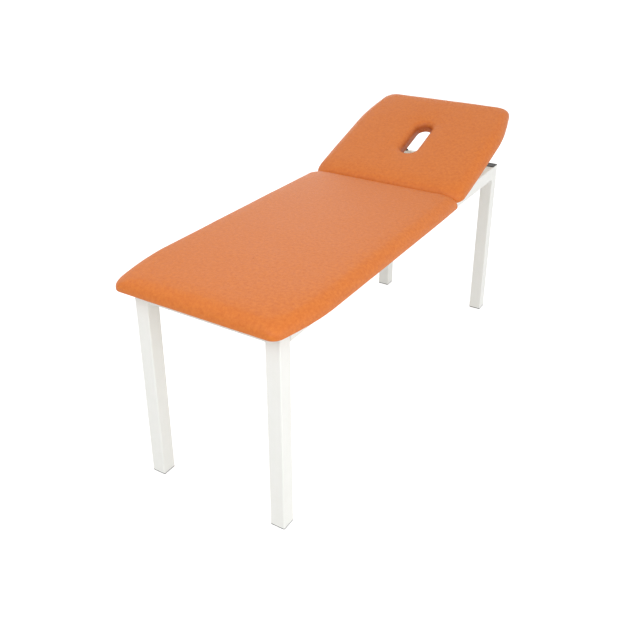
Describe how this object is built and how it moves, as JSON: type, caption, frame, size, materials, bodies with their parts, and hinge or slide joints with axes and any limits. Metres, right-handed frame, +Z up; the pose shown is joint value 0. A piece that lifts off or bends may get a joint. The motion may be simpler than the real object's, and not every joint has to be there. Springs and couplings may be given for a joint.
{
  "type": "medical examination couch",
  "caption": "Fixed-height padded examination couch on a square-tube frame, with a tilting headrest that has a face slot.",
  "frame": {"origin": "on the floor, below the middle of the couch with its headrest raised as in the picture", "axes": "+Z up, +Y along the couch towards the head end, +X across the couch"},
  "size_m": [0.65, 1.7898, 0.9416],
  "materials": {
    "frame_white": "white powder coat, satin",
    "black_plastic": "moulded, fine grain",
    "knob_plastic": "moulded, satin",
    "leatherette": "fine-grained apricot-orange leatherette, soft sheen",
    "foam": "upholstery foam",
    "plywood": "birch plywood",
    "zinc_steel": "zinc plated",
    "bright_steel": "bright drawn rod",
    "yellow_zinc": "yellow zinc plated",
    "block_steel": "blasted aluminium",
    "dark_steel": "blackened spring steel",
    "rubber": "black rubber"
  },
  "bodies": {
    "frame": {"leg_foot_left": "frame_white", "leg_foot_right": "frame_white", "leg_head_left": "frame_white", "leg_head_right": "frame_white", "side_rail_left": "frame_white", "side_rail_right": "frame_white", "foot_cross_rail": "frame_white", "middle_cross_rail": "frame_white", "hinge_cross_rail": "frame_white", "stay_cross_rail": "frame_white", "head_cross_rail": "frame_white", "glide_foot_left": "black_plastic", "glide_foot_right": "black_plastic", "glide_head_left": "black_plastic", "glide_head_right": "black_plastic", "cap_foot_left": "black_plastic", "cap_foot_right": "black_plastic", "cap_head_left": "black_plastic", "cap_head_right": "black_plastic", "body_board": "plywood", "body_foam": "foam", "body_cover": "leatherette", "hinge_leaf_fixed_left": "zinc_steel", "hinge_leaf_fixed_right": "zinc_steel", "hinge_pin_left": "zinc_steel", "hinge_pin_right": "zinc_steel", "hinge_screws_fixed": "zinc_steel", "board_bolts": "zinc_steel", "board_washers": "zinc_steel", "board_t_nuts": "yellow_zinc", "board_buffers": "rubber", "rest_buffers": "rubber", "stay_ear_left": "frame_white", "stay_ear_right": "frame_white"},
    "headrest": {"headrest_board": "plywood", "headrest_foam": "foam", "headrest_cover": "leatherette", "hinge_leaf_moving_left": "zinc_steel", "hinge_leaf_moving_right": "zinc_steel", "hinge_screws_moving": "zinc_steel", "rod_bracket_left": "zinc_steel", "rod_bracket_right": "zinc_steel", "bracket_screws": "zinc_steel", "rod_pin_left": "zinc_steel", "rod_pin_right": "zinc_steel"},
    "rod_left": {"rod_left": "bright_steel", "rod_stop_left": "dark_steel"},
    "rod_right": {"rod_right": "bright_steel", "rod_stop_right": "dark_steel"},
    "block_left": {"swivel_block_left": "block_steel", "swivel_ring_left": "dark_steel"},
    "block_right": {"swivel_block_right": "block_steel", "swivel_ring_right": "dark_steel"},
    "knob_left": {"clamp_screw_left": "zinc_steel", "star_knob_left": "knob_plastic"},
    "knob_right": {"clamp_screw_right": "zinc_steel", "star_knob_right": "knob_plastic"}
  },
  "joints": [
    {"name": "headrest_tilt", "type": "hinge", "parent": "frame", "child": "headrest", "pos_m": [0, 0.28114, 0.6915], "axis": [1, 0, 0], "range_deg": [-19.1, 20.9]},
    {"name": "rod_swing_left", "type": "hinge", "parent": "headrest", "child": "rod_left", "pos_m": [-0.12, 0.43657, 0.72945], "axis": [1, 0, 0], "range_deg": [-10.95, 10.05]},
    {"name": "block_swivel_left", "type": "hinge", "parent": "frame", "child": "block_left", "pos_m": [-0.12, 0.43208, 0.63841], "axis": [1, 0, 0], "range_deg": [-10.05, 10.95]},
    {"name": "knob_turn_left", "type": "hinge", "parent": "block_left", "child": "knob_left", "pos_m": [-0.12, 0.43208, 0.63841], "axis": [1, 0, 0], "range_deg": [0, 180]},
    {"name": "rod_swing_right", "type": "hinge", "parent": "headrest", "child": "rod_right", "pos_m": [0.12, 0.43657, 0.72945], "axis": [1, 0, 0], "range_deg": [-10.95, 10.05]},
    {"name": "block_swivel_right", "type": "hinge", "parent": "frame", "child": "block_right", "pos_m": [0.12, 0.43208, 0.63841], "axis": [1, 0, 0], "range_deg": [-10.05, 10.95]},
    {"name": "knob_turn_right", "type": "hinge", "parent": "block_right", "child": "knob_right", "pos_m": [0.12, 0.43208, 0.63841], "axis": [1, 0, 0], "range_deg": [0, 180]}
  ],
  "couplings": [
    {"joint": "rod_swing_left", "follows": "headrest_tilt", "ratio": -0.5},
    {"joint": "block_swivel_left", "follows": "headrest_tilt", "ratio": 0.5},
    {"joint": "rod_swing_right", "follows": "headrest_tilt", "ratio": -0.5},
    {"joint": "block_swivel_right", "follows": "headrest_tilt", "ratio": 0.5}
  ]
}
